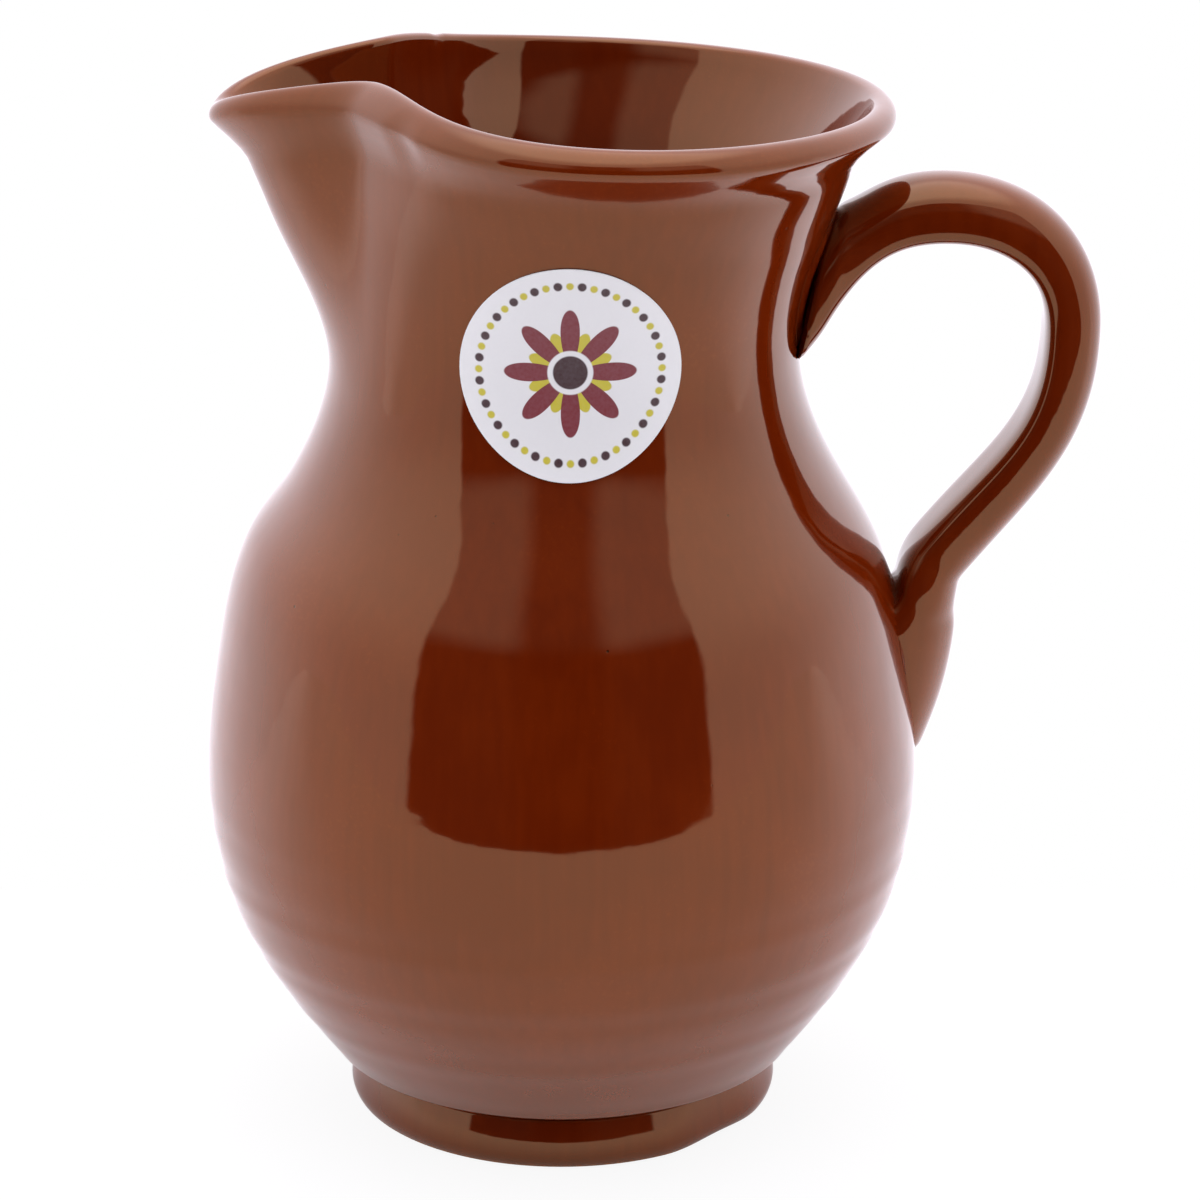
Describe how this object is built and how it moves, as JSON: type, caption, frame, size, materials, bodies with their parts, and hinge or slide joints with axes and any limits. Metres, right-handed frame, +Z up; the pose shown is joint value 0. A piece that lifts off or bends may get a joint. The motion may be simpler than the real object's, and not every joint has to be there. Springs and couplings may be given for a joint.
{
  "type": "ceramic jug",
  "caption": "Wheel-thrown glazed jug with a round belly, narrow waist, pinched pouring spout, pulled bow handle on luted joints, foot ring and a round paper label.",
  "frame": {"origin": "the middle of the flat base, on the axis of the wheel the body was thrown on, in the plane that the jug stands on", "axes": "+Z up along the wheel's axis; +X towards the handle, with the spout towards -X; the label faces -Y"},
  "size_m": [0.173, 0.1396, 0.2087],
  "materials": {
    "honey_glaze": "glossy",
    "slip_glaze": "glossy",
    "label_paper": "satin"
  },
  "bodies": {
    "root": {"body": "honey_glaze", "foot_ring": "honey_glaze", "handle": "honey_glaze", "upper_slip": "slip_glaze", "lower_slip": "slip_glaze", "paper_label": "label_paper"}
  },
  "joints": []
}
